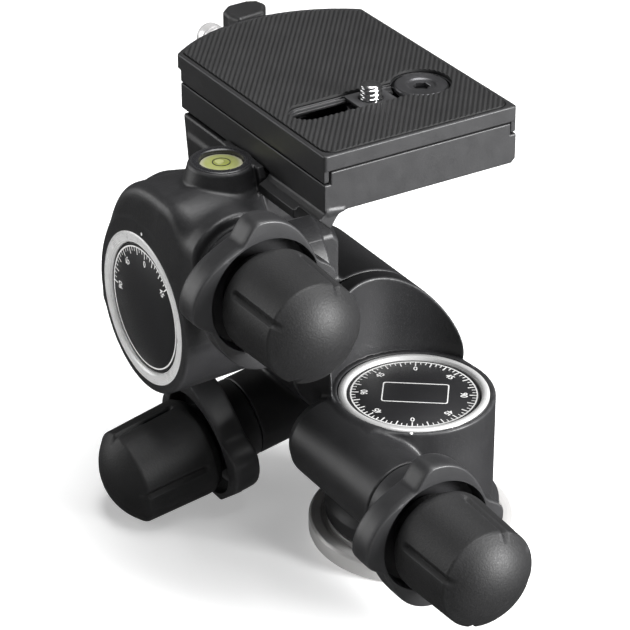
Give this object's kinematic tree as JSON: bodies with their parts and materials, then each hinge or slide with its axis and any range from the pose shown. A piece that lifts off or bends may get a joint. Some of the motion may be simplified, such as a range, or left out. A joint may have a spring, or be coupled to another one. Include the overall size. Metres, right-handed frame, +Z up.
{
  "type": "geared tripod head",
  "caption": "Three-axis tripod head: worm-geared pan, front tilt and side tilt with release collars and knobs, angle dials, a bubble level and a clamp with a ribbed camera plate.",
  "frame": {"origin": "pan axis at the base plate's underside, on the mouth of the tripod thread", "axes": "+Z up along the pan axis to the camera plate, +X toward the pan and side knobs, +Y away from the side dial"},
  "size_m": [0.1799, 0.1039, 0.1385],
  "materials": {
    "powder_black": "fine-textured satin black powder coat on cast aluminium",
    "knob_rubber": "charcoal grip rubber, fine grain",
    "collar_black": "satin black glass-filled nylon",
    "machined_silver": "turned, satin, clear anodised",
    "steel": "ground and bright",
    "bronze": "hobbed gear bronze",
    "dial_black": "black anodised disc with white scale",
    "anodised_grey": "dark anodised bar, brushed end faces",
    "pad_rubber": "black rubber with fine ribs",
    "chrome": "polished",
    "vial_green": "clear acrylic vial, yellow-green liquid",
    "nylon": "natural acetal"
  },
  "bodies": {
    "base": {"base_plate": "machined_silver", "pan_wheel": "bronze", "pan_dial": "dial_black", "pan_bezel": "machined_silver"},
    "pan_body": {"pan_housing": "powder_black", "pan_bush": "nylon", "tilt_stub": "machined_silver", "tilt_wheel": "bronze", "tilt_dial": "dial_black", "tilt_bezel": "machined_silver"},
    "pan_release": {"pan_collar": "collar_black", "pan_spring": "steel"},
    "pan_drive": {"pan_worm": "steel", "pan_knob": "knob_rubber"},
    "tilt_body": {"tilt_housing": "powder_black", "tilt_bush": "nylon", "side_stub": "machined_silver", "side_wheel": "bronze", "side_dial": "dial_black", "side_bezel": "machined_silver"},
    "tilt_release": {"tilt_collar": "collar_black", "tilt_spring": "steel"},
    "tilt_drive": {"tilt_worm": "steel", "tilt_knob": "knob_rubber"},
    "top_body": {"top_housing": "powder_black", "side_bush": "nylon", "bubble_vial": "vial_green", "platform": "anodised_grey", "platform_screw_1": "steel", "platform_screw_2": "steel", "platform_screw_3": "steel", "lever_pin": "steel"},
    "side_release": {"side_collar": "collar_black", "side_spring": "steel"},
    "side_drive": {"side_worm": "steel", "side_knob": "knob_rubber"},
    "lever": {"lock_lever": "powder_black"},
    "button": {"safety_button": "machined_silver"},
    "plate": {"camera_plate": "anodised_grey", "rubber_pad": "pad_rubber", "spare_screw": "steel"},
    "carrier": {"screw_carrier": "collar_black"},
    "screw": {"camera_screw": "chrome"}
  },
  "joints": [
    {"name": "pan", "type": "hinge", "parent": "base", "child": "pan_body", "pos_m": [0, 0, 0.0315], "axis": [0, 0, 1], "continuous": true},
    {"name": "pan_release_turn", "type": "hinge", "parent": "pan_body", "child": "pan_release", "pos_m": [0, -0.0234, 0.0337], "axis": [-1, 0, 0], "range_deg": [0, 50], "stiffness_Nm_per_rad": 0.3, "springref_deg": -17.19, "deforming": ["pan_spring"]},
    {"name": "pan_knob_turn", "type": "hinge", "parent": "pan_release", "child": "pan_drive", "pos_m": [0, -0.0234, 0.0315], "axis": [1, 0, 0], "continuous": true},
    {"name": "front_tilt", "type": "hinge", "parent": "pan_body", "child": "tilt_body", "pos_m": [-0.05, 0, 0.048], "axis": [-1, 0, 0], "range_deg": [-25, 90]},
    {"name": "tilt_release_turn", "type": "hinge", "parent": "tilt_body", "child": "tilt_release", "pos_m": [-0.0522, 0.00406, 0.02496], "axis": [0, 0.9848, 0.1736], "range_deg": [0, 50], "stiffness_Nm_per_rad": 0.3, "springref_deg": -17.19, "deforming": ["tilt_spring"]},
    {"name": "tilt_knob_turn", "type": "hinge", "parent": "tilt_release", "child": "tilt_drive", "pos_m": [-0.05, 0.00406, 0.02496], "axis": [0, -0.9848, -0.1736], "continuous": true},
    {"name": "side_tilt", "type": "hinge", "parent": "tilt_body", "child": "top_body", "pos_m": [-0.0457, -0.0503, 0.0695], "axis": [0, 1, 0], "range_deg": [-90, 25]},
    {"name": "side_release_turn", "type": "hinge", "parent": "top_body", "child": "side_release", "pos_m": [-0.0457, -0.0481, 0.0929], "axis": [-1, 0, 0], "range_deg": [0, 50], "stiffness_Nm_per_rad": 0.3, "springref_deg": -17.19, "deforming": ["side_spring"]},
    {"name": "side_knob_turn", "type": "hinge", "parent": "side_release", "child": "side_drive", "pos_m": [-0.0457, -0.0503, 0.0929], "axis": [1, 0, 0], "continuous": true},
    {"name": "lever_turn", "type": "hinge", "parent": "top_body", "child": "lever", "pos_m": [-0.079, -0.001, 0.121], "axis": [0, 0, -1], "range_deg": [0, 30], "stiffness_Nm_per_rad": 0.02, "springref_deg": -5.73},
    {"name": "button_press", "type": "slide", "parent": "top_body", "child": "button", "axis": [1, 0, 0], "range_m": [0, 0.0018], "stiffness_N_per_m": 300, "springref_m": -0.001},
    {"name": "plate_lift", "type": "slide", "parent": "top_body", "child": "plate", "axis": [0, 0, 1], "range_m": [0, 0.02]},
    {"name": "screw_slide", "type": "slide", "parent": "plate", "child": "carrier", "axis": [0, 1, 0], "range_m": [-0.0145, 0.0025]},
    {"name": "screw_turn", "type": "hinge", "parent": "carrier", "child": "screw", "pos_m": [-0.0226, -0.001, 0.13], "axis": [0, 0, 1], "continuous": true}
  ],
  "couplings": [
    {"joint": "pan_knob_turn", "follows": "pan", "ratio": 48},
    {"joint": "tilt_knob_turn", "follows": "front_tilt", "ratio": 48},
    {"joint": "side_knob_turn", "follows": "side_tilt", "ratio": 48}
  ]
}
